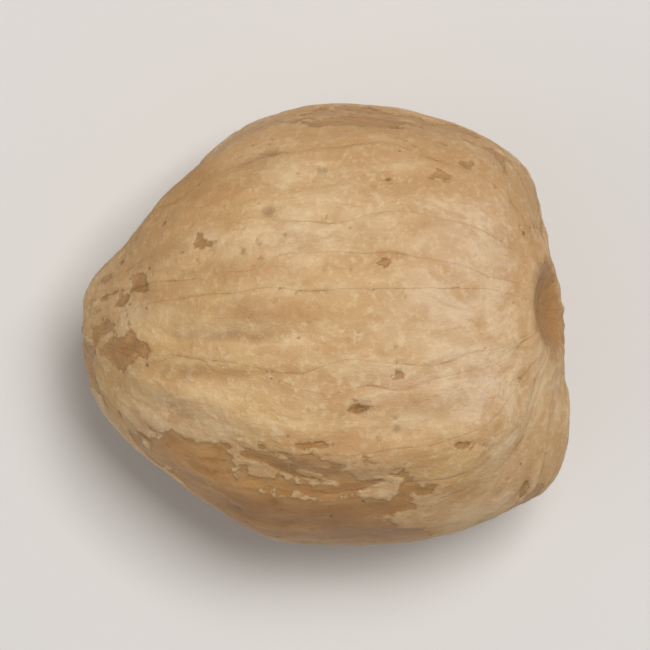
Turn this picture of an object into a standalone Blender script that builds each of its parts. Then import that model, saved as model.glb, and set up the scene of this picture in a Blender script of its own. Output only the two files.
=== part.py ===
# Shelled candlenut: one whole kernel, lying on its flatter side.
# X runs from the narrow tip (-X) to the broad end with the scar (+X), Y across, Z up.
# The origin is under the middle of the kernel, on the surface that it rests on.
# Lengths are in metres and angles in degrees.

import bmesh
import bpy
import numpy as np

NAME = "candlenut_kernel"

# The finished kernel
LENGTH = 0.0260
WIDTH = 0.0237
THICKNESS = 0.0190

# The body, before it is brought to the finished size
HALF_LENGTH = 0.0130
HALF_WIDTH = 0.0118
HEIGHT_ABOVE = 0.0101
HEIGHT_BELOW = 0.0088
TIP_POWER = 2.0  # 2 is as round as an ellipse
BROAD_POWER = 2.8  # higher powers make a squarer, blunter end
ROUNDER_ABOVE = 0.55  # share of that squareness lost towards the top and the underside
FLAT_DEPTH = 0.00035  # how much the flat spot takes off the underside

# Broad swellings (+) and hollows (-): turn from +X towards +Y, angle up from level, width, height
SWELLINGS = (
    (-34, 6, 20, 0.0013),  # full corner beside the scar
    (-48, 0, 10, -0.0005),
    (-68, 0, 14, 0.0003),
    (22, 8, 10, -0.0008),  # dip on the other side of the scar
    (60, 0, 18, -0.0002),  # the corner there is rounder
    (136, 0, 24, -0.0014),  # flank that runs straight to the tip
    (158, 0, 15, -0.0007),
    (172, 4, 12, 0.0008),  # blunt tip
    (-166, -2, 12, 0.0006),  # the tip's other corner
    (-130, 0, 16, -0.0007),
    (38, 40, 14, 0.0005),  # upper edge of the broad end
    (-34, 42, 14, 0.0004),
    (20, 58, 26, 0.0004),
    (-150, 48, 22, -0.0004),
    (60, -60, 24, -0.0004),
    (-70, -50, 22, 0.0003),
)

# Soft lengthwise edges where the broad faces turn down to the flanks: turn round the long axis
# from +Y half way along, how much further it is turned at the broad end, width, height
EDGES = (
    (125, 15, 9, 0.00042),
    (33, -3, 11, 0.00035),
    (-28, 4, 12, 0.00030),
    (-152, -5, 12, 0.00035),
)
EDGE_FADE = (0.25, 0.80)  # distance from the long axis, as a share, over which an edge rises

# Ribs from the tip to the broad end, three sets laid over each other: number all round, start, height
RIBS = (
    (13, 1.1, 0.000045),
    (18, 4.3, 0.000052),
    (24, 0.9, 0.000052),
)
RIB_FADE = (0.35, 0.85)  # distance from the long axis over which a rib rises
RIB_SINK = (0.1, 0.7)  # share of the way to the broad end over which the ribs get lower
RIB_LOSS = 0.65
AXIS_POWER = 4.0  # higher powers keep the long axis straight until nearer the scar
WORN_FADE = (30.0, 50.0)  # the ribs are worn away this many degrees from straight down

# Round scar on the broad end, a shallow cup with a low rim
SCAR_TURN, SCAR_RISE = 4, 22
SCAR_RADIUS = 0.0018
SCAR_DEPTH = 0.00060
RIM_RADIUS = 0.0028
RIM_WIDTH = 0.0008
RIM_HEIGHT = 0.00024

# Small pits: turn, angle up, radius, depth
PITS = (
    (-66, 63, 0.00050, 0.00025),
    (118, 52, 0.00050, 0.00022),
    (-8, -38, 0.00060, 0.00030),
)

GRID = 30  # squares along each edge of the cube that becomes the kernel

COLOUR = (0.58, 0.40, 0.22, 1.0)
ROUGHNESS = 0.55


def smoothstep(low, high, value):
    share = np.clip((value - low) / (high - low), 0.0, 1.0)
    return share * share * (3.0 - 2.0 * share)


def hump(distance, width):
    """1 in the middle, falling smoothly to nearly 0 two widths away."""
    return np.exp(-((distance / width) ** 2))


def direction(turn, rise):
    """Unit vector, turned from +X towards +Y and raised from level."""
    turn, rise = np.radians(turn), np.radians(rise)
    return np.array((np.cos(turn) * np.cos(rise), np.sin(turn) * np.cos(rise), np.sin(rise)))


def angle_from(directions, turn, rise):
    return np.degrees(np.arccos(np.clip(directions @ direction(turn, rise), -1.0, 1.0)))


def body(directions):
    """Distance from the centre to the smooth body, blunter towards +X."""
    x, y, z = directions.T
    half_height = np.where(z > 0.0, HEIGHT_ABOVE, HEIGHT_BELOW)
    across = np.hypot(y / HALF_WIDTH, z / half_height)
    squareness = smoothstep(-0.5, 0.7, x) * (1.0 - ROUNDER_ABOVE * z * z)
    power = TIP_POWER + (BROAD_POWER - TIP_POWER) * squareness
    return ((np.abs(x) / HALF_LENGTH) ** power + across**power) ** (-1.0 / power)


def round_axis(directions):
    """Turn round the long axis, which bends up to the scar at the broad end, and distance from it."""
    x, y, z = directions.T
    end = direction(SCAR_TURN, SCAR_RISE)
    bend = np.clip(x / end[0], 0.0, 1.0) ** AXIS_POWER
    y, z = y - end[1] * bend, z - end[2] * bend
    return np.arctan2(z, y), np.hypot(y, z)


def swellings(directions):
    total = np.zeros(len(directions))
    for turn, rise, width, height in SWELLINGS:
        total += height * hump(angle_from(directions, turn, rise), width)
    return total


def edges(x, around, off_axis):
    total = np.zeros(len(x))
    for place, slant, width, height in EDGES:
        turned = (np.degrees(around) - place - slant * x + 180.0) % 360.0 - 180.0
        total += height * hump(turned, width)
    return total * smoothstep(*EDGE_FADE, off_axis)


def ribs(x, around, off_axis):
    """Long low ribs that wander a little and come and go along the kernel."""
    wandering = around + 0.05 * np.sin(3.0 * around + 1.3) + 0.04 * np.sin(2.0 * around + 4.0 * x)
    total = np.zeros(len(x))
    for count, start, height in RIBS:
        total += height * np.cos(count * wandering + start + 1.5 * np.sin(2.5 * x + start))
    return total * smoothstep(*RIB_FADE, off_axis) * (1.0 - RIB_LOSS * smoothstep(*RIB_SINK, x))


def scar(distance):
    """Cup and rim, by distance from the middle of the scar."""
    cup = SCAR_DEPTH * (1.0 - smoothstep(0.4 * SCAR_RADIUS, 1.35 * SCAR_RADIUS, distance))
    return RIM_HEIGHT * hump(distance - RIM_RADIUS, RIM_WIDTH) - cup


def pits(directions, smooth):
    total = np.zeros(len(directions))
    for turn, rise, pit_radius, depth in PITS:
        away = np.radians(angle_from(directions, turn, rise)) * smooth
        total -= depth * hump(away, pit_radius)
    return total


def shape(directions):
    """Points of the kernel's surface along the given directions from its centre."""
    around, off_axis = round_axis(directions)
    smooth = body(directions) + swellings(directions) + edges(directions[:, 0], around, off_axis)
    from_scar = np.radians(angle_from(directions, SCAR_TURN, SCAR_RISE)) * HALF_LENGTH
    unworn = smoothstep(*WORN_FADE, angle_from(directions, 0, -90))
    relief = unworn * ribs(directions[:, 0], around, off_axis)
    relief += scar(from_scar) + pits(directions, smooth)
    return directions * (smooth + relief)[:, None]


def brought_to_size(points):
    """Gives the box the finished size above the flat spot, with the origin under its middle."""
    low, high = points.min(axis=0), points.max(axis=0)
    low[2] += FLAT_DEPTH
    stretch = np.array((LENGTH, WIDTH, THICKNESS)) / (high - low)
    return (points - (low + high) / 2.0) * stretch + (0.0, 0.0, THICKNESS / 2.0)


def cut_flat_spot(work):
    """Takes off what reaches below the surface that the kernel rests on, and closes the cut."""
    whole = work.verts[:] + work.edges[:] + work.faces[:]
    cut = bmesh.ops.bisect_plane(
        work, geom=whole, dist=1e-6, plane_co=(0, 0, 0), plane_no=(0, 0, 1), clear_inner=True
    )
    rim = [item for item in cut["geom_cut"] if isinstance(item, bmesh.types.BMEdge)]
    for edge in rim:
        for vertex in edge.verts:
            vertex.co.z = 0.0
    bmesh.ops.contextual_create(work, geom=rim)


def kernel_mesh():
    """A cube, cut into even squares, blown up to a ball and brought to the kernel's shape."""
    mesh = bpy.data.meshes.new(NAME)
    work = bmesh.new()
    bmesh.ops.create_cube(work, size=2.0)
    bmesh.ops.subdivide_edges(work, edges=work.edges[:], cuts=GRID - 1, use_grid_fill=True)
    cube = np.array([vertex.co[:] for vertex in work.verts])
    # The tangent keeps the squares near the corners as large as those in the middle of a face.
    ball = np.tan(cube * np.pi / 4.0)
    ball /= np.linalg.norm(ball, axis=1)[:, None]
    for vertex, place in zip(work.verts, brought_to_size(shape(ball))):
        vertex.co = place
    cut_flat_spot(work)
    bmesh.ops.recalc_face_normals(work, faces=work.faces[:])
    work.to_mesh(mesh)
    work.free()
    mesh.shade_smooth()
    return mesh


def kernel_material():
    material = bpy.data.materials.new("kernel_surface")
    material.use_nodes = True
    shader = material.node_tree.nodes["Principled BSDF"]
    shader.inputs["Base Color"].default_value = COLOUR
    shader.inputs["Roughness"].default_value = ROUGHNESS
    shader.inputs["Metallic"].default_value = 0.0
    material.diffuse_color = COLOUR
    return material


def clear_scene():
    for item in list(bpy.data.objects):
        bpy.data.objects.remove(item, do_unlink=True)


def main():
    clear_scene()
    group = bpy.data.collections.new("candlenut")
    bpy.context.scene.collection.children.link(group)
    mesh = kernel_mesh()
    mesh.materials.append(kernel_material())
    group.objects.link(bpy.data.objects.new(NAME, mesh))


main()
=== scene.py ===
# Looks of the shelled candlenut: the kernel's fine surface, its material, the light and the camera.
# The kernel lies on the floor with its tip towards -X and its scar towards +X, as the frame has it.
# Lengths are in metres and angles in degrees, unless a name or a comment says otherwise.

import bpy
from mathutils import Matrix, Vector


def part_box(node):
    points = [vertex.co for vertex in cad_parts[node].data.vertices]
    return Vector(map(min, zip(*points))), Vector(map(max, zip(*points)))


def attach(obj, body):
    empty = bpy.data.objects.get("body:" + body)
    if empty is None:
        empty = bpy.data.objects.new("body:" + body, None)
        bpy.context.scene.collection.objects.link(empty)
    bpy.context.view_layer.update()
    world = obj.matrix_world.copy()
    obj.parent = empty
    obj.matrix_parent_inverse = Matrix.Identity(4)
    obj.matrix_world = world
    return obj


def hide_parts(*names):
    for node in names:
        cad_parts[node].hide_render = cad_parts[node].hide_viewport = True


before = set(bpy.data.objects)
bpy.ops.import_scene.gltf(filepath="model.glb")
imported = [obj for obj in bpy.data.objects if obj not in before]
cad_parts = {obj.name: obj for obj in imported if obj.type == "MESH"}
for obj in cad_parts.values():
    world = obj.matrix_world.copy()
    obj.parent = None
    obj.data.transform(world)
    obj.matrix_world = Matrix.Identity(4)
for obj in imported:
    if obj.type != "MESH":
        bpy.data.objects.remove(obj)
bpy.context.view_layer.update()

from types import SimpleNamespace

import bmesh
import bpy
import numpy as np
from mathutils import Vector, noise

NODE = "candlenut_kernel"
MM = 0.001

# The body, with the same values as the solid
HALF_LENGTH = 0.0130
HALF_WIDTH = 0.0118
HEIGHT_ABOVE = 0.0101
HEIGHT_BELOW = 0.0088
TIP_POWER = 2.0  # 2 is as round as an ellipse
BROAD_POWER = 2.8  # higher powers make a squarer, blunter end
ROUNDER_ABOVE = 0.55  # share of that squareness lost towards the top and the underside
FLAT_DEPTH = 0.00035  # how much the flat spot takes off the underside

# Broad swellings (+) and hollows (-): turn from +X towards +Y, angle up from level, width, height
SWELLINGS = (
    (-34, 6, 20, 0.0013),
    (-48, 0, 10, -0.0005),
    (-68, 0, 14, 0.0003),
    (22, 8, 10, -0.0008),
    (60, 0, 18, -0.0002),
    (136, 0, 24, -0.0014),
    (158, 0, 15, -0.0007),
    (172, 4, 12, 0.0008),
    (-166, -2, 12, 0.0006),
    (-130, 0, 16, -0.0007),
    (38, 40, 14, 0.0005),
    (-34, 42, 14, 0.0004),
    (20, 58, 26, 0.0004),
    (-150, 48, 22, -0.0004),
    (60, -60, 24, -0.0004),
    (-70, -50, 22, 0.0003),
)

# Soft lengthwise edges: turn round the long axis from +Y half way along, how much further it is
# turned at the broad end, width, height
EDGES = (
    (125, 15, 9, 0.00042),
    (33, -3, 11, 0.00035),
    (-28, 4, 12, 0.00030),
    (-152, -5, 12, 0.00035),
)
EDGE_FADE = (0.25, 0.80)  # distance from the long axis, as a share, over which an edge rises

# Ribs: number all round, start, height
RIBS = (
    (13, 1.1, 0.000045),
    (18, 4.3, 0.000052),
    (24, 0.9, 0.000052),
)
RIB_FADE = (0.35, 0.85)  # distance from the long axis over which a rib rises
RIB_SINK = (0.1, 0.7)  # share of the way to the broad end over which the ribs get lower
RIB_LOSS = 0.65
AXIS_POWER = 4.0  # higher powers keep the long axis straight until nearer the scar
WORN_FADE = (30.0, 50.0)  # the ribs are worn away this many degrees from straight down

# Scar on the broad end, a shallow cup with a low rim
SCAR_TURN, SCAR_RISE = 4, 22
SCAR_RADIUS = 0.0018
SCAR_DEPTH = 0.00060
RIM_RADIUS = 0.0028
RIM_WIDTH = 0.0008
RIM_HEIGHT = 0.00024

# Pits: turn, angle up, radius, depth
PITS = (
    (-66, 63, 0.00050, 0.00025),
    (118, 52, 0.00050, 0.00022),
    (-8, -38, 0.00060, 0.00030),
)

GRID = 127  # squares along each edge of the cube that becomes the kernel: 193,548 triangles

# The grain that the coat and the flesh follow from tip to scar
GRAIN_WANDER = 0.0008
GRAIN_GATHER = 0.75  # 1 keeps the grain evenly spaced, and 0 brings it all together at the ends

# Two sets of thin lines from tip to scar: number all round, which is even, and start
LINE_SETS = ((10, 0.4), (16, 2.3))
LINE_NAMES = ("line_a", "line_b")
LINE_WARP = 1.3  # how far a line wanders, in radians of its own wave

# Small pits strewn over the kernel, their radius in millimetres and their depth as a share of it
SMALL_PITS = 90
SMALL_PIT_SEED = 12
SMALL_PIT_RADIUS = (0.10, 0.26)
SMALL_PIT_DEPTH = (0.25, 0.5)

RELIEF_FADE = (16.0, 27.0)  # fine relief starts this many degrees from straight down

# Narrow and wide hollows: rounds of evening out that smooth them away, and the depth that counts as 1
NARROW_ROUNDS, NARROW_DEPTH = 3, 0.00005
WIDE_ROUNDS, WIDE_DEPTH = 90, 0.00010

# From here to the yellower places, lengths are in millimetres.
ON_TOP = (9.0, 12.0)  # heights over which the places given by x and y come in

# The coat on top, and where it thins out towards the sides; at the far flank and the broad end the
# thinning is painted shade, and past the lower edge it is partly worn coat and partly painted shade: how
# much, from where, to where
COAT_ON_TOP = 0.56
THIN_COAT_AND_SHADE_PAST_EDGE = (0.86, -1.0, 1.6)
THIN_AT_TIP = (0.34, 9.0, 12.0)
PAINTED_SHADE_AT_FAR_FLANK = (0.62, 9.4, 11.0)
PAINTED_SHADE_AT_BROAD_END = (0.22, 9.6, 10.3)

# The coat's ragged edge along the -Y flank; the bare flesh below it is partly worn coat and partly painted
# shade
COAT_EDGE = -5.8  # its y near the tip
COAT_EDGE_DROP = 2.9  # how much further out it is at the broad end
COAT_EDGE_TURN = (-1.0, 7.5)  # x over which it gets there
COAT_EDGE_WANDER = 0.7

# Places on top where the coat is thin or gone; the rows at y 8.2 and 8.4 paint the shade at the upper
# edge: x, y, half length, half width, strength
BARE_AND_PAINTED_SHADE_PATCHES = (
    (-4.2, 0.2, 2.6, 0.8, 0.40),
    (0.8, 0.3, 1.8, 0.5, 0.30),
    (3.1, 3.2, 0.9, 0.6, 0.36),
    (7.4, 8.2, 2.8, 1.2, 0.75),
    (1.5, -4.2, 1.0, 0.7, 0.42),
    (-9.4, 2.3, 2.0, 0.7, 0.50),
    (-10.5, -1.4, 1.8, 0.8, 0.48),
    (7.8, -6.2, 2.0, 0.4, 0.34),
    (-7.0, 8.4, 3.0, 1.0, 0.50),
    (0.0, -9.5, 3.2, 0.6, 0.50),
    (6.6, -8.6, 1.4, 0.5, 0.35),
)

# Places on top where the coat stays thick
COATED_PATCHES = (
    (9.3, -9.6, 1.2, 1.6, 1.10),
    (7.0, 2.8, 3.0, 3.6, 0.25),
    (7.8, -3.8, 2.2, 1.6, 0.25),
    (-5.0, -4.2, 2.8, 1.0, 0.15),
    (-1.4, 7.8, 1.6, 0.7, 0.25),
    # The next row pales the coat where the relief casts shade: painted light.
    (-1.6, -7.7, 1.6, 0.5, 0.25),
    (11.2, -4.8, 1.0, 2.6, 0.50),
    (6.8, -10.2, 2.2, 0.9, 1.10),
    (3.0, -8.6, 1.1, 0.5, 0.60),
)

# Grooves on top: start x, end x, y at the start, y at the end, half width, depth
GROOVES = (
    (-9.0, -0.2, -2.3, -2.6, 0.24, 0.07),
    (-12.0, -6.4, -1.1, -1.3, 0.22, 0.08),
    (-3.6, 2.4, 2.9, 2.7, 0.20, 0.06),
    (-11.0, -7.2, 2.9, 2.6, 0.24, 0.09),
    (-6.4, 2.6, 0.5, 0.1, 0.26, 0.02),
    (-8.4, -2.5, 6.0, 6.7, 0.22, 0.06),
    (4.2, 9.0, -5.6, -6.2, 0.20, 0.07),
)

# Darker spots on top, stains and painted shade: x, y, half length, half width, strength, as in the sets
# after this one
STAINS_AND_PAINTED_SHADE = (
    (1.7, -4.4, 0.30, 0.24, 0.25),
    (3.1, 3.3, 0.8, 0.6, 0.50),
    (4.9, -3.7, 0.7, 0.4, 0.30),
    # The rows at y -10.9 and -9.4 paint the shade of the lower flank, and the row at (-7.6, 7.4) paints
    # the shade at the upper left edge.
    (1.0, -10.9, 6.0, 1.2, 0.90),
    (-7.6, 7.4, 3.3, 1.8, 0.95),
    (-3.6, 0.6, 2.6, 0.60, 0.65),
    (-0.2, 0.4, 1.6, 0.5, 0.40),
    (-2.6, -7.4, 1.3, 0.6, 0.30),
    (-5.8, -7.6, 0.9, 0.6, 0.60),
    (-2.6, -9.4, 4.2, 0.8, 0.85),
    (6.6, -8.6, 1.6, 0.5, 0.60),
)

# Places on top where the coat is tan; the rows at (7.6, 8.2), (-7.6, 7.4) and (4.4, 9.3) paint the shade
# at the upper edge
TAN_PATCHES = (
    (7.6, 8.2, 2.8, 1.3, 1.00),
    (-7.6, 7.4, 3.4, 2.0, 1.00),
    (-2.6, 0.8, 3.8, 0.8, 1.10),
    (-2.8, 2.7, 2.6, 0.55, 0.85),
    (6.2, 6.8, 1.8, 0.5, 0.50),
    (4.4, 9.3, 2.0, 0.9, 1.00),
    (-7.6, -1.6, 2.0, 0.6, 0.90),
    (1.4, -6.7, 3.2, 0.8, 0.90),
    (9.5, 6.2, 0.7, 1.6, 0.60),
    (10.9, 0.8, 0.5, 2.0, 0.60),
    (-2.0, -1.5, 2.0, 0.5, 0.80),
    (-1.6, -5.7, 1.4, 0.5, 0.50),
    (-9.6, 2.6, 2.6, 1.4, 0.60),
    (-4.6, -2.6, 4.2, 0.5, 0.45),
    (-11.2, -0.6, 1.6, 3.0, 0.60),
    (-8.6, 4.2, 1.6, 1.0, 0.90),
    (-0.6, -7.4, 4.2, 0.7, 0.60),
    (0.4, -5.8, 1.6, 0.6, 0.50),
    (9.8, 1.6, 0.8, 1.6, 0.25),
    (0.9, -4.0, 1.1, 1.1, 0.85),
    (1.9, 3.2, 1.2, 0.6, 0.50),
    (4.8, 2.4, 0.8, 0.8, 0.45),
    (-7.6, 5.4, 1.6, 0.5, 0.50),
    (7.6, -5.3, 1.6, 0.5, 0.50),
    (0.2, 6.8, 2.0, 0.5, 0.55),
    (4.9, -3.7, 1.0, 0.5, 0.50),
)

# Tan strips along the broad end and the far flank, painted shade where these edges turn away: strength,
# from where, to where
PAINTED_SHADE_TAN_BROAD_END = (0.48, 9.6, 10.1)
PAINTED_SHADE_TAN_FAR_FLANK = (0.85, 9.2, 10.2)
PAINTED_SHADE_TAN_BROAD_END_START = (-4.5, -2.0)  # y over which the first one begins

# Paler places on top
PALE_PATCHES = (
    (4.4, -5.0, 1.8, 0.6, 1.00),
    (-8.4, -5.9, 0.9, 0.5, 0.70),
    (11.2, 0.0, 0.5, 0.6, 0.20),
    (7.4, -9.9, 2.0, 0.8, 0.90),
    (3.0, -8.2, 1.4, 0.4, 0.50),
    (4.6, -1.0, 2.0, 1.0, 0.65),
    (2.0, -4.0, 0.6, 0.9, 0.50),
    (-9.6, 0.6, 2.4, 0.6, 0.60),
    (-4.8, 3.7, 1.6, 0.5, 0.50),
    (-6.8, 1.9, 0.8, 0.5, 0.40),
    (-1.0, -4.2, 1.0, 0.8, 0.40),
    (-5.0, -3.1, 2.2, 0.4, 0.40),
    (7.8, 2.4, 1.1, 0.5, 0.45),
    (-3.2, 5.2, 1.4, 0.4, 0.35),
    (-6.4, 7.0, 1.4, 0.4, 0.30),
    (4.0, -2.3, 1.8, 0.5, 0.60),
    (4.2, 4.1, 1.2, 0.5, 1.00),
    (-6.0, 4.4, 1.0, 0.5, 0.80),
    (-1.6, 8.0, 2.6, 0.6, 0.60),
    (-3.0, 6.0, 1.2, 0.4, 0.45),
    (1.4, 5.8, 1.5, 0.4, 0.45),
    (-6.0, -0.5, 1.6, 0.5, 0.80),
    (0.6, 2.0, 1.0, 0.6, 0.50),
    (-5.2, -5.4, 1.4, 0.5, 0.85),
    (-8.8, -3.9, 1.3, 0.5, 0.55),
    (11.2, -2.5, 0.8, 1.5, 0.75),
)

# Rosier places on top
ROSY_PATCHES = (
    (7.0, 2.6, 3.2, 4.0, 1.00),
    (-8.4, -5.2, 1.8, 1.4, 0.40),
    (3.4, -3.4, 1.2, 1.0, 0.45),
    (8.0, -3.6, 2.4, 2.2, 0.70),
    (-1.2, 4.6, 2.4, 1.2, 0.35),
)

# Yellower places on top
STRAW_PATCHES = (
    (-7.5, 0.5, 5.5, 7.5, 1.00),
    (-11.5, 0.0, 2.5, 5.0, 0.60),
    (1.0, -2.0, 2.4, 1.2, 0.35),
    (3.0, -7.4, 7.5, 1.1, 1.00),
)

# Colours of the kernel, linear
COAT_PALE = (0.72, 0.510, 0.285, 1.0)
COAT_CHALK = (0.82, 0.625, 0.380, 1.0)
COAT_TAN = (0.55, 0.316, 0.134, 1.0)
COAT_STRAW = (0.69, 0.436, 0.170, 1.0)
COAT_ROSY = (0.71, 0.518, 0.372, 1.0)
FLESH_LIGHT = (0.57, 0.300, 0.098, 1.0)
FLESH_DARK = (0.43, 0.212, 0.061, 1.0)
# Oil stains, and painted shade on the lower flank and at the upper left edge
OIL_STAIN_AND_SHADE_BROWN = (0.33, 0.148, 0.034, 1.0)
# Painted shade: laid into hollows and along the line beside the coat's edge.
PAINTED_SHADE_BROWN = (0.26, 0.130, 0.048, 1.0)
SCAR_BROWN = (0.42, 0.218, 0.075, 1.0)
SPECK_BROWN = (0.10, 0.05, 0.025, 1.0)

SPECK_SPACING = 0.0013
BUMP_HEIGHT = 0.00008
GLOW_DEPTH = 0.001  # how far light gets under the surface

# The floor
FLOOR_SIZE = 4.0
FLOOR_MOTTLE = 0.05
FLOOR_COLOURS = ((0.74, 0.73, 0.715, 1.0), (0.77, 0.76, 0.745, 1.0))

# Square lights: name, direction from the kernel, distance, size, watts, colour
LIGHTS = (
    ("key", (0.22, 0.24, 0.94), 0.45, 0.17, 1.43, (1.0, 0.98, 0.955)),
    ("fill", (-0.8, -0.25, 0.6), 0.50, 0.35, 0.30, (1.0, 0.95, 0.88)),
)
ROOM_COLOUR = (1.0, 0.975, 0.945, 1.0)
ROOM_STRENGTH = 0.26

# The camera
AIM = Vector((0.0, 0.0, 0.009))
LENS_MM = 200.0
SENSOR_MM = 36.0
VIEW_WIDTH = 0.035
CLIP_START, CLIP_END = 0.01, 10.0


def smoothstep(low, high, value):
    share = np.clip((value - low) / (high - low), 0.0, 1.0)
    return share * share * (3.0 - 2.0 * share)


def hump(distance, width):
    """1 in the middle, falling smoothly to nearly 0 two widths away."""
    return np.exp(-((distance / width) ** 2))


def cloud(points, size, octaves, shift):
    """Fractal noise from about -1 to 1, with its largest lumps about size across.

    Each use has a shift of its own, so that no two clouds are alike.
    """
    return np.array([noise.fractal(place, 1.0, 2.0, octaves) for place in points / size + shift])


def direction(turn, rise):
    """Unit vector, turned from +X towards +Y and raised from level."""
    turn, rise = np.radians(turn), np.radians(rise)
    return np.array((np.cos(turn) * np.cos(rise), np.sin(turn) * np.cos(rise), np.sin(rise)))


def angle_from(directions, turn, rise):
    return np.degrees(np.arccos(np.clip(directions @ direction(turn, rise), -1.0, 1.0)))


def body(directions):
    """Distance from the centre to the smooth body, blunter towards +X."""
    x, y, z = directions.T
    half_height = np.where(z > 0.0, HEIGHT_ABOVE, HEIGHT_BELOW)
    across = np.hypot(y / HALF_WIDTH, z / half_height)
    squareness = smoothstep(-0.5, 0.7, x) * (1.0 - ROUNDER_ABOVE * z * z)
    power = TIP_POWER + (BROAD_POWER - TIP_POWER) * squareness
    return ((np.abs(x) / HALF_LENGTH) ** power + across**power) ** (-1.0 / power)


def round_axis(directions):
    """Turn in radians round the long axis, which bends up to the scar, and distance from it."""
    x, y, z = directions.T
    end = direction(SCAR_TURN, SCAR_RISE)
    bend = np.clip(x / end[0], 0.0, 1.0) ** AXIS_POWER
    y, z = y - end[1] * bend, z - end[2] * bend
    return np.arctan2(z, y), np.hypot(y, z)


def swellings(directions):
    total = np.zeros(len(directions))
    for turn, rise, width, height in SWELLINGS:
        total += height * hump(angle_from(directions, turn, rise), width)
    return total


def edges(x, around, off_axis):
    total = np.zeros(len(x))
    for place, slant, width, height in EDGES:
        turned = (np.degrees(around) - place - slant * x + 180.0) % 360.0 - 180.0
        total += height * hump(turned, width)
    return total * smoothstep(*EDGE_FADE, off_axis)


def ribs(x, around, off_axis):
    """Long low ribs that wander a little and come and go along the kernel."""
    wandering = around + 0.05 * np.sin(3.0 * around + 1.3) + 0.04 * np.sin(2.0 * around + 4.0 * x)
    total = np.zeros(len(x))
    for count, start, height in RIBS:
        total += height * np.cos(count * wandering + start + 1.5 * np.sin(2.5 * x + start))
    return total * smoothstep(*RIB_FADE, off_axis) * (1.0 - RIB_LOSS * smoothstep(*RIB_SINK, x))


def scar(distance):
    """Cup and rim, by distance from the middle of the scar."""
    cup = SCAR_DEPTH * (1.0 - smoothstep(0.4 * SCAR_RADIUS, 1.35 * SCAR_RADIUS, distance))
    return RIM_HEIGHT * hump(distance - RIM_RADIUS, RIM_WIDTH) - cup


def inside_scar(distance, full, none):
    """1 up to full times the scar's radius from its middle, falling to 0 at none times that radius."""
    return 1.0 - smoothstep(full * SCAR_RADIUS, none * SCAR_RADIUS, distance)


def pits(directions, smooth):
    total = np.zeros(len(directions))
    for turn, rise, pit_radius, depth in PITS:
        away = np.radians(angle_from(directions, turn, rise)) * smooth
        total -= depth * hump(away, pit_radius)
    return total


def ball_mesh():
    """A cube cut into even squares, and the place of each of its corners on a ball of radius 1."""
    work = bmesh.new()
    bmesh.ops.create_cube(work, size=2.0)
    bmesh.ops.subdivide_edges(work, edges=work.edges[:], cuts=GRID - 1, use_grid_fill=True)
    bmesh.ops.recalc_face_normals(work, faces=work.faces[:])
    mesh = bpy.data.meshes.new("kernel_skin")
    work.to_mesh(mesh)
    work.free()
    cube = np.empty(len(mesh.vertices) * 3)
    mesh.vertices.foreach_get("co", cube)
    # The tangent keeps the squares near the corners as large as those in the middle of a face.
    ball = np.tan(cube.reshape(-1, 3) * np.pi / 4.0)
    return mesh, ball / np.linalg.norm(ball, axis=1)[:, None]


class Kernel:
    """The kernel's shape, and the places that its fine surface is worked out from."""

    def __init__(self, directions):
        self.directions = directions
        self.around, self.off_axis = round_axis(directions)
        self.from_scar = np.radians(angle_from(directions, SCAR_TURN, SCAR_RISE)) * HALF_LENGTH
        self.from_tip = np.radians(angle_from(directions, 180, 0)) * HALF_LENGTH
        self.from_under = angle_from(directions, 0, -90)
        self.smooth = body(directions) + swellings(directions)
        self.smooth += edges(directions[:, 0], self.around, self.off_axis)
        self.across = self.off_axis * self.smooth
        unworn = smoothstep(*WORN_FADE, self.from_under)
        self.form = unworn * ribs(directions[:, 0], self.around, self.off_axis)
        self.form += scar(self.from_scar) + pits(directions, self.smooth)
        self.place()
        self.lay_grain()

    def place(self):
        """Brings the shape to the solid's box, and notes where each point is in millimetres."""
        points = self.directions * (self.smooth + self.form)[:, None]
        low, high = points.min(axis=0), points.max(axis=0)
        low[2] += FLAT_DEPTH
        solid_low, solid_high = (np.array(corner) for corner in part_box(NODE))
        self.stretch = (solid_high - solid_low) / (high - low)
        self.shift = (solid_low + solid_high) / 2.0 - (low + high) / 2.0 * self.stretch
        self.seen = points * self.stretch + self.shift
        self.x, self.y, self.z = (self.seen / MM).T
        self.on_top = smoothstep(*ON_TOP, self.z)

    def lay_grain(self):
        """Finds places that run along the kernel, draw together a little at its ends, and wander."""
        out = HALF_WIDTH * (self.across / HALF_WIDTH) ** GRAIN_GATHER
        sideways, upwards = out * np.cos(self.around), out * np.sin(self.around)
        self.grain = np.stack((self.seen[:, 0], sideways, upwards), axis=1)
        self.grain[:, 1] += GRAIN_WANDER * cloud(self.seen, 4.0 * MM, 2, 31.0)
        self.grain[:, 2] += GRAIN_WANDER * cloud(self.seen, 4.0 * MM, 2, 37.0)
        self.streaks = cloud(self.drawn_out(0.20), 1.15 * MM, 3, 5.0)

    def drawn_out(self, share):
        """Places for noise whose lumps are drawn out lengthwise, more so the smaller the share."""
        return self.grain * (share, 1.0, 1.0)

    def with_relief(self, relief):
        """The finished points, with the relief added outwards and the underside cut flat."""
        out = self.smooth + self.form + relief
        points = self.directions * out[:, None] * self.stretch + self.shift
        points[:, 2] = np.maximum(points[:, 2], 0.0)
        return points


def patches(kernel, rows):
    total = np.zeros(len(kernel.x))
    for x, y, half_length, half_width, strength in rows:
        away = np.hypot((kernel.x - x) / half_length, (kernel.y - y) / half_width)
        total += strength * hump(away, 1.0)
    return total


def rising(place, row):
    """0 up to the row's start, rising to its strength at the row's end."""
    strength, start, end = row
    return strength * smoothstep(start, end, place)


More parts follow.
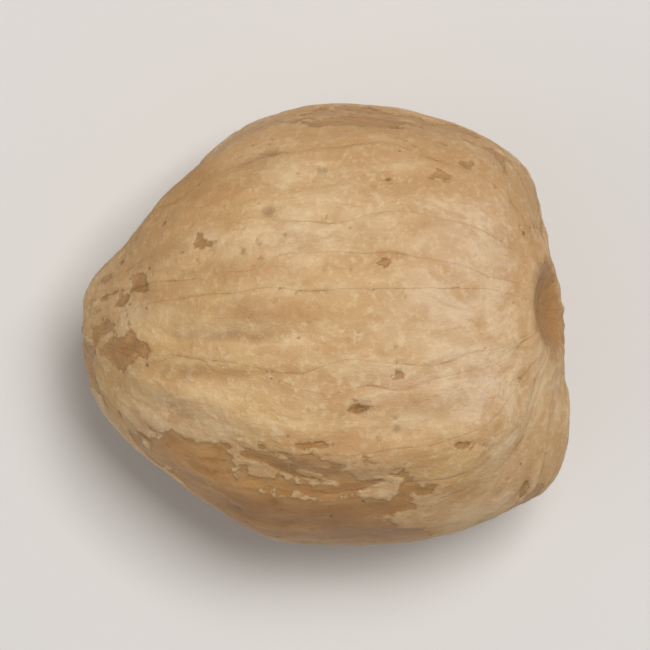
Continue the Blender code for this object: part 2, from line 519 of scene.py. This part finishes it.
def coat_field(kernel):
    """How thick the thin pale coat is: above 0 where it is left, and below 0 where it has rubbed off. Its
    thinning along the far flank and the broad end is painted shade, and past the lower edge it is partly
    rubbed-off coat and partly painted shade.
    """
    ragged = 0.48 * cloud(kernel.drawn_out(0.5), 3.6 * MM, 5, 3.0) + 0.32 * kernel.streaks
    ragged += 0.18 * cloud(kernel.seen, 0.9 * MM, 3, 7.0)
    edge_line = COAT_EDGE - COAT_EDGE_DROP * smoothstep(*COAT_EDGE_TURN, kernel.x)
    edge_line += COAT_EDGE_WANDER * cloud(kernel.seen, 2.8 * MM, 2, 17.0)
    # Past the lower edge the coat is gone, partly as wear and partly as painted shade on the flank.
    top = COAT_ON_TOP - rising(edge_line - kernel.y, THIN_COAT_AND_SHADE_PAST_EDGE)
    top -= rising(-kernel.x, THIN_AT_TIP)
    # Painted shade: the coat thins along the far flank and the broad end, where they turn away.
    top -= rising(kernel.y, PAINTED_SHADE_AT_FAR_FLANK)
    top -= rising(kernel.x, PAINTED_SHADE_AT_BROAD_END)
    # The bare patches include painted shade at the upper edge.
    top += patches(kernel, COATED_PATCHES) - patches(kernel, BARE_AND_PAINTED_SHADE_PATCHES)
    elsewhere = 0.24 + 0.72 * cloud(kernel.seen, 7.5 * MM, 2, 13.0)
    coat = kernel.on_top * top + (1.0 - kernel.on_top) * elsewhere + ragged
    coat -= 2.0 * inside_scar(kernel.from_scar, 0.85, 1.35)
    return coat + 0.35 * hump(kernel.from_scar - 1.1 * RIM_RADIUS, 0.8 * MM)


def groove_field(kernel):
    """Depth of the grooves on top, in metres."""
    wander = 0.22 * cloud(kernel.seen, 2.6 * MM, 3, 11.0)
    depth_share = np.clip(0.75 + 0.9 * cloud(kernel.seen, 1.5 * MM, 2, 12.0), 0.15, 1.2)
    total = np.zeros(len(kernel.x))
    for start, end, y_start, y_end, half_width, depth in GROOVES:
        along = np.clip((kernel.x - start) / (end - start), 0.0, 1.0)
        line = y_start + (y_end - y_start) * along + wander
        begun = smoothstep(start - 1.0, start + 1.2, kernel.x)
        ended = smoothstep(end - 1.2, end + 1.0, kernel.x)
        total = np.maximum(total, depth * begun * (1.0 - ended) * hump(kernel.y - line, half_width))
    return total * depth_share * kernel.on_top * MM


def small_pits(kernel):
    """Depth of small uneven pits strewn over the kernel, in metres."""
    draw = np.random.default_rng(SMALL_PIT_SEED)
    uneven = 1.0 + 1.2 * cloud(kernel.seen, 0.5 * MM, 2, 15.0)
    total = np.zeros(len(kernel.x))
    for _ in range(SMALL_PITS):
        middle = draw.normal(size=3)
        middle /= np.linalg.norm(middle)
        pit_radius = draw.uniform(*SMALL_PIT_RADIUS) * MM
        depth = draw.uniform(*SMALL_PIT_DEPTH) * pit_radius
        away = np.arccos(np.clip(kernel.directions @ middle, -1.0, 1.0)) * HALF_WIDTH
        total = np.maximum(total, depth * hump(away * uneven, pit_radius))
    return total


def from_lines(kernel, number):
    """Distance, with a sign, to the nearest line of a set, in metres; large where the lines fade out."""
    count, start = LINE_SETS[number]
    turned = count * kernel.around + start + LINE_WARP * cloud(kernel.seen, 5.0 * MM, 2, 41.0 + number)
    present = smoothstep(0.06, 0.45, cloud(kernel.seen, 3.4 * MM, 3, 51.0 + number))
    return np.sin(turned / 2.0) * 2.0 / count * kernel.across / np.maximum(present, 0.04)


def fine_relief(kernel, coat, lines):
    """Fine relief in metres, outwards."""
    unpinched = smoothstep(0.15, 0.50, kernel.off_axis)
    on_rim = hump(kernel.from_scar - 1.05 * RIM_RADIUS, 0.9 * MM)
    on_rim *= 0.7 + 1.0 * cloud(kernel.seen, 1.6 * MM, 2, 8.0)
    spokes = np.cos(17.0 * kernel.around + 2.0 * np.sin(3.0 * kernel.around))
    at_tip = hump(kernel.from_tip, 3.6 * MM) * smoothstep(0.0, 1.6 * MM, kernel.from_tip)
    tip_folds = np.cos(7.0 * kernel.around + 1.6 * np.sin(2.0 * kernel.around + 0.7))
    # Heights in millimetres, each times how far its form is there.
    relief = MM * (
        # Broad unevenness, long lumps, small lumps and streaks
        0.16 * cloud(kernel.seen, 5.2 * MM, 2, 1.0)
        + 0.050 * cloud(kernel.drawn_out(0.6), 2.1 * MM, 2, 2.0)
        + 0.030 * cloud(kernel.seen, 0.80 * MM, 2, 4.0)
        + 0.036 * unpinched * kernel.streaks
        # Thin lines
        - 0.050 * hump(lines[0], 0.26 * MM) * unpinched
        - 0.035 * hump(lines[1], 0.20 * MM) * unpinched
        # The coat, and its edge, which curls up a little
        + 0.055 * smoothstep(0.0, 0.12, coat)
        + 0.018 * hump(coat - 0.12, 0.08)
        # Scar: spokes on its rim, a step down into its cup, and the cup's rough floor
        + 0.050 * on_rim * spokes
        - 0.100 * inside_scar(kernel.from_scar, 0.85, 1.1)
        + 0.080 * inside_scar(kernel.from_scar, 0.7, 1.25) * cloud(kernel.seen, 0.9 * MM, 4, 6.0)
        # Tip: folds that run into it, and a dimple at its end
        + 0.070 * at_tip * tip_folds
        - 0.100 * hump(kernel.from_tip, 0.55 * MM)
    )
    relief -= groove_field(kernel) + small_pits(kernel)
    return relief * smoothstep(*RELIEF_FADE, kernel.from_under)


def blurred(values, pairs, rounds):
    """Evens out values over a mesh, each round by half with the mean of a corner's neighbours."""
    count = np.bincount(pairs.ravel(), minlength=len(values))
    for _ in range(rounds):
        near = np.bincount(pairs[:, 0], values[pairs[:, 1]], len(values))
        near += np.bincount(pairs[:, 1], values[pairs[:, 0]], len(values))
        values = 0.5 * (values + near / count)
    return values


def cavity_field(mesh, height):
    """Above 0 in hollows and below 0 on ridges, from narrow ones to ones about 2 mm across. The colour
    paints shade into the hollows and highlight onto the ridges by it.
    """
    pairs = np.empty(len(mesh.edges) * 2, dtype=np.int64)
    mesh.edges.foreach_get("vertices", pairs)
    pairs = pairs.reshape(-1, 2)
    close = blurred(height, pairs, NARROW_ROUNDS)
    wide = blurred(close, pairs, WIDE_ROUNDS)
    return (wide - close) / WIDE_DEPTH + (close - height) / NARROW_DEPTH


def with_patches(kernel, strewn, rows):
    """A share from 0 to 1: what is strewn over the kernel, with the rows' patches on top."""
    return np.clip(strewn + kernel.on_top * patches(kernel, rows), 0.0, 1.0)


def stain_and_painted_shade_field(kernel):
    """Where the kernel is darker: oil or bruising, and painted shade on the lower flank and at the upper
    left edge.
    """
    strewn = smoothstep(0.05, 0.60, cloud(kernel.seen, 5.0 * MM, 4, 21.0))
    tip = 0.6 * hump(kernel.from_tip, 0.5 * MM)
    return with_patches(kernel, strewn * (1.0 - 0.7 * kernel.on_top) + tip, STAINS_AND_PAINTED_SHADE)


def tan_and_painted_shade_field(kernel):
    wander = 0.5 * cloud(kernel.seen, 1.6 * MM, 3, 29.0)
    strewn = 0.6 * smoothstep(0.0, 0.5, cloud(kernel.drawn_out(0.6), 4.5 * MM, 3, 33.0))
    # Painted shade: tan strips along the broad end and the far flank, where they turn away.
    painted_shade_strips = rising(kernel.x + wander, PAINTED_SHADE_TAN_BROAD_END) * smoothstep(*PAINTED_SHADE_TAN_BROAD_END_START, kernel.y)
    painted_shade_strips += rising(kernel.y + wander, PAINTED_SHADE_TAN_FAR_FLANK)
    return with_patches(kernel, strewn + kernel.on_top * painted_shade_strips, TAN_PATCHES)


def rosy_field(kernel):
    strewn = smoothstep(0.0, 0.5, cloud(kernel.seen, 6.0 * MM, 2, 27.0))
    return with_patches(kernel, strewn * (0.75 - 0.55 * kernel.on_top), ROSY_PATCHES)


def straw_field(kernel):
    strewn = smoothstep(-0.1, 0.4, cloud(kernel.drawn_out(0.6), 3.4 * MM, 3, 45.0))
    return with_patches(kernel, 0.75 * strewn * (1.0 - 0.4 * kernel.on_top), STRAW_PATCHES)


def scar_field(kernel):
    ragged = kernel.from_scar + 0.5 * MM * cloud(kernel.seen, 1.2 * MM, 3, 49.0)
    return inside_scar(ragged, 1.3, 1.7)


def add_fields(mesh, fields, grain):
    """Stores what the material reads at each corner of the mesh."""
    for name, values in fields.items():
        layer = mesh.attributes.new(name, "FLOAT", "POINT")
        layer.data.foreach_set("value", values.astype(np.float32))
    layer = mesh.attributes.new("grain", "FLOAT_VECTOR", "POINT")
    layer.data.foreach_set("vector", grain.astype(np.float32).ravel())


def kernel_skin():
    mesh, directions = ball_mesh()
    kernel = Kernel(directions)
    coat = coat_field(kernel)
    lines = [from_lines(kernel, number) for number in range(len(LINE_SETS))]
    relief = fine_relief(kernel, coat, lines)
    mesh.vertices.foreach_set("co", kernel.with_relief(relief).ravel())
    fields = {
        "coat": coat,
        "cavity": cavity_field(mesh, kernel.form + relief),
        "stain": stain_and_painted_shade_field(kernel),
        "rosy": rosy_field(kernel),
        "tan": tan_and_painted_shade_field(kernel),
        "straw": straw_field(kernel),
        "pale": with_patches(kernel, 0.0, PALE_PATCHES),
        "scar": scar_field(kernel),
        "streaks": kernel.streaks,
    }
    fields.update({name: line / MM for name, line in zip(LINE_NAMES, lines)})
    add_fields(mesh, fields, kernel.grain)
    mesh.shade_smooth()
    mesh.update()
    skin = bpy.data.objects.new("kernel_skin", mesh)
    bpy.context.scene.collection.objects.link(skin)
    mesh.materials.append(kernel_material(fields.keys()))
    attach(skin, "root")
    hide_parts(NODE)


class Tree:
    """Short calls for building one material's nodes."""

    def __init__(self, name):
        self.material = bpy.data.materials.new(name)
        self.material.use_nodes = True
        self.tree = self.material.node_tree
        self.tree.nodes.clear()

    def node(self, kind, inputs=(), **settings):
        made = self.tree.nodes.new(kind)
        for name, value in settings.items():
            setattr(made, name, value)
        for name, value in dict(inputs).items():
            self.set(made.inputs[name], value)
        return made

    def set(self, socket, value):
        if isinstance(value, bpy.types.NodeSocket):
            self.tree.links.new(value, socket)
        else:
            socket.default_value = value

    def finish(self, shader):
        output = self.node("ShaderNodeOutputMaterial")
        self.tree.links.new(shader.outputs["BSDF"], output.inputs["Surface"])
        return self.material

    def value(self, name):
        return self.node("ShaderNodeAttribute", attribute_name=name).outputs["Fac"]

    def place(self):
        return self.node("ShaderNodeTexCoord").outputs["Object"]

    def drawn_out(self, share):
        """The grain's places, with what follows them drawn out lengthwise."""
        grain = self.node("ShaderNodeAttribute", attribute_name="grain").outputs["Vector"]
        inputs = {0: grain, 1: (share, 1.0, 1.0)}
        return self.node("ShaderNodeVectorMath", inputs, operation="MULTIPLY").outputs[0]

    def noise(self, vector, size, detail, roughness=0.5):
        inputs = {"Vector": vector, "Scale": 1.0 / size, "Detail": detail, "Roughness": roughness}
        return self.node("ShaderNodeTexNoise", inputs).outputs["Fac"]

    def math(self, operation, a, b=0.0, c=0.0):
        return self.node("ShaderNodeMath", {0: a, 1: b, 2: c}, operation=operation).outputs[0]

    def times(self, a, b):
        return self.math("MULTIPLY", a, b)

    def plus_times(self, base, value, share):
        return self.math("MULTIPLY_ADD", value, share, base)

    def nudge(self, base, value, share):
        """Adds share times how far a noise is from its middle."""
        return self.plus_times(base, self.math("SUBTRACT", value, 0.5), share)

    def ramp(self, value, low, high, out_low=0.0, out_high=1.0):
        inputs = {"Value": value, "From Min": low, "From Max": high, "To Min": out_low, "To Max": out_high}
        return self.node("ShaderNodeMapRange", inputs, interpolation_type="SMOOTHSTEP").outputs[0]

    def blend(self, factor, a, b):
        """From colour a at 0 to colour b at 1. A Mix node's colours are its inputs 6 and 7."""
        return self.node("ShaderNodeMix", {0: factor, 6: a, 7: b}, data_type="RGBA").outputs[2]

    def lay(self, base, colour, where, share):
        """Lays a colour over the base, as thickly as the two factors say together."""
        return self.blend(self.times(where, share), base, colour)


def surface_values(t, names):
    """What the kernel's colour, gloss and bump are worked out from."""
    v = SimpleNamespace(**{name: t.value(name) for name in names})
    v.place = t.place()
    v.broad = t.noise(v.place, size=3.4 * MM, detail=3.0, roughness=0.55)
    v.blotches = t.noise(t.drawn_out(0.55), size=1.7 * MM, detail=6.0, roughness=0.62)
    v.fibres = t.noise(t.drawn_out(0.16), size=0.30 * MM, detail=4.0, roughness=0.65)
    v.mealy = t.noise(v.place, size=0.45 * MM, detail=5.0, roughness=0.7)
    v.grit = t.noise(v.place, size=0.12 * MM, detail=3.0, roughness=0.6)
    # Thin lines from tip to scar, by their distance in millimetres.
    lines = (t.math("ABSOLUTE", t.nudge(line, v.blotches, 0.6)) for line in (v.line_a, v.line_b))
    v.vein = t.math("MAXIMUM", *(t.ramp(line, 0.0, 0.11, 1.0, 0.0) for line in lines))
    # The edge of the coat is broken up finer than the mesh can hold.
    v.torn = t.nudge(t.nudge(t.nudge(v.coat, v.blotches, 0.50), v.fibres, 0.22), v.mealy, 0.45)
    v.coated = t.ramp(v.torn, -0.05, 0.05)
    return v


def flesh_colour(t, v):
    """Bare flesh, with a film of the coat left on parts of it, and oil stains that also carry painted
    shade.
    """
    darker = t.ramp(t.nudge(t.times(v.streaks, -0.6), v.blotches, 1.0), -0.20, 0.20)
    colour = t.blend(darker, FLESH_LIGHT, FLESH_DARK)
    colour = t.lay(colour, FLESH_DARK, t.ramp(v.fibres, 0.45, 0.66), 0.70)
    colour = t.lay(colour, COAT_TAN, t.ramp(v.mealy, 0.50, 0.70), 0.40)
    colour = t.lay(colour, COAT_TAN, t.ramp(v.broad, 0.48, 0.62), 0.30)
    film = t.times(t.ramp(v.torn, -0.60, -0.05), t.ramp(v.fibres, 0.60, 0.35))
    colour = t.lay(colour, COAT_TAN, film, 0.75)
    # Oil stains, with painted shade on the lower flank and at the upper left edge.
    return t.lay(colour, OIL_STAIN_AND_SHADE_BROWN, v.stain, t.ramp(v.blotches, 0.36, 0.62, 1.0, 0.35))


def coat_colour(t, v):
    """The papery coat, paler where it is thicker, with straw, rosy, tan and chalky places. The tan also
    paints shade along the edges, and the darker stain colour paints shade on the lower flank and at the
    upper left edge.
    """
    colour = t.blend(t.ramp(v.torn, 0.0, 0.60), COAT_TAN, COAT_PALE)
    colour = t.lay(colour, COAT_STRAW, t.nudge(v.straw, v.broad, 0.8), 0.85)
    colour = t.lay(colour, COAT_ROSY, v.rosy, 0.75)
    colour = t.lay(colour, COAT_CHALK, t.ramp(v.streaks, 0.05, 0.45), 0.30)
    # Tan places, which also paint shade along the edges.
    colour = t.lay(colour, COAT_TAN, t.nudge(v.tan, v.blotches, 1.2), 0.90)
    colour = t.lay(colour, COAT_TAN, t.ramp(v.streaks, 0.0, -0.40), 0.42)
    colour = t.lay(colour, COAT_TAN, t.ramp(v.blotches, 0.46, 0.68), 0.45)
    colour = t.lay(colour, COAT_TAN, t.ramp(v.fibres, 0.47, 0.62), 0.36)
    colour = t.lay(colour, COAT_CHALK, t.ramp(v.mealy, 0.50, 0.64), t.ramp(v.tan, 0.2, 1.0, 0.48, 0.24))
    colour = t.lay(colour, COAT_CHALK, v.pale, t.ramp(v.blotches, 0.62, 0.38, 0.35, 0.85))
    # Darker where stained, and painted shade on the lower flank and at the upper left edge.
    return t.lay(colour, FLESH_DARK, v.stain, 0.55)


def with_marks(t, v, colour):
    """Adds the coat's edge with a painted shadow line beside it, the thin lines, painted shade in hollows
    and painted highlight on ridges, the scar and the specks.
    """
    # A pale frayed lip along the coat's edge, and a painted shadow line just outside it.
    lip = t.times(t.ramp(v.torn, 0.0, 0.03), t.ramp(v.torn, 0.05, 0.13, 1.0, 0.0))
    painted_shadow_line = t.times(t.ramp(v.torn, -0.12, -0.02), t.ramp(v.torn, -0.02, 0.0, 1.0, 0.0))
    colour = t.lay(colour, COAT_CHALK, lip, 0.12)
    colour = t.lay(colour, PAINTED_SHADE_BROWN, painted_shadow_line, 0.10)
    colour = t.lay(colour, FLESH_DARK, v.vein, t.ramp(v.blotches, 0.35, 0.65, 0.12, 0.45))
    # Painted shade in the hollows, and a painted highlight on the ridges.
    colour = t.lay(colour, PAINTED_SHADE_BROWN, t.ramp(v.cavity, 0.2, 1.8), 0.50)
    colour = t.lay(colour, COAT_CHALK, t.ramp(v.cavity, -0.2, -1.2), 0.20)
    colour = t.lay(colour, SCAR_BROWN, t.times(v.scar, t.ramp(v.mealy, 0.25, 0.6)), 0.88)
    return t.lay(colour, SPECK_BROWN, specks(t, v), 0.6)


def specks(t, v):
    """Small uneven specks in about one in six of the cells that the surface is divided into."""
    cells = t.node("ShaderNodeTexVoronoi", {"Vector": v.place, "Scale": 1.0 / SPECK_SPACING})
    drawn = t.node("ShaderNodeSeparateColor", {0: cells.outputs["Color"]}).outputs[0]
    away = t.nudge(t.nudge(cells.outputs["Distance"], v.mealy, 0.35), v.fibres, 0.20)
    return t.times(t.ramp(drawn, 0.80, 0.86), t.ramp(away, 0.02, 0.09, 1.0, 0.0))


def kernel_bump(t, v):
    height = t.times(v.grit, 0.45)
    for value, share in ((v.mealy, 1.1), (v.fibres, 0.60), (v.coated, 0.40), (v.vein, -0.28)):
        height = t.plus_times(height, value, share)
    inputs = {"Strength": 1.0, "Distance": BUMP_HEIGHT, "Height": height}
    return t.node("ShaderNodeBump", inputs).outputs["Normal"]


def kernel_material(names):
    t = Tree("kernel_skin")
    v = surface_values(t, names)
    colour = t.blend(v.coated, flesh_colour(t, v), coat_colour(t, v))
    shader = t.node(
        "ShaderNodeBsdfPrincipled",
        {
            "Base Color": with_marks(t, v, colour),
            "Roughness": t.nudge(t.plus_times(0.43, v.coated, 0.26), v.mealy, 0.25),
            "Normal": kernel_bump(t, v),
            "IOR": 1.46,
            "Subsurface Weight": 0.15,
            "Subsurface Radius": (1.0, 0.5, 0.25),
            "Subsurface Scale": GLOW_DEPTH,
        },
    )
    return t.finish(shader)


def floor():
    bpy.ops.mesh.primitive_plane_add(size=FLOOR_SIZE, location=(0.0, 0.0, 0.0))
    plane = bpy.context.object
    plane.name = "floor"
    t = Tree("floor")
    grey = t.blend(t.noise(t.place(), size=FLOOR_MOTTLE, detail=2.0), *FLOOR_COLOURS)
    shader = t.node("ShaderNodeBsdfPrincipled", {"Base Color": grey, "Roughness": 0.8})
    plane.data.materials.append(t.finish(shader))


def area_light(name, towards, distance, size, power, colour):
    """A square light that shines on the kernel from the given direction."""
    data = bpy.data.lights.new(name, "AREA")
    data.shape = "SQUARE"
    data.size = size
    data.energy = power
    data.color = colour
    lamp = bpy.data.objects.new(name, data)
    lamp.location = AIM + Vector(towards).normalized() * distance
    lamp.rotation_euler = (AIM - lamp.location).to_track_quat("-Z", "Y").to_euler()
    bpy.context.scene.collection.objects.link(lamp)


def lights():
    for row in LIGHTS:
        area_light(*row)
    world = bpy.data.worlds.new("room")
    world.use_nodes = True
    background = world.node_tree.nodes["Background"]
    background.inputs["Color"].default_value = ROOM_COLOUR
    background.inputs["Strength"].default_value = ROOM_STRENGTH
    bpy.context.scene.world = world


def camera():
    """Looks straight down on the kernel, with +Y up in the picture."""
    data = bpy.data.cameras.new("camera")
    data.lens = LENS_MM
    data.sensor_width = SENSOR_MM
    data.clip_start = CLIP_START
    data.clip_end = CLIP_END
    eye = bpy.data.objects.new("camera", data)
    eye.location = (0.0, 0.0, AIM.z + VIEW_WIDTH * LENS_MM / SENSOR_MM)
    bpy.context.scene.collection.objects.link(eye)
    bpy.context.scene.camera = eye


bpy.context.scene.view_settings.view_transform = "Standard"
kernel_skin()
floor()
lights()
camera()
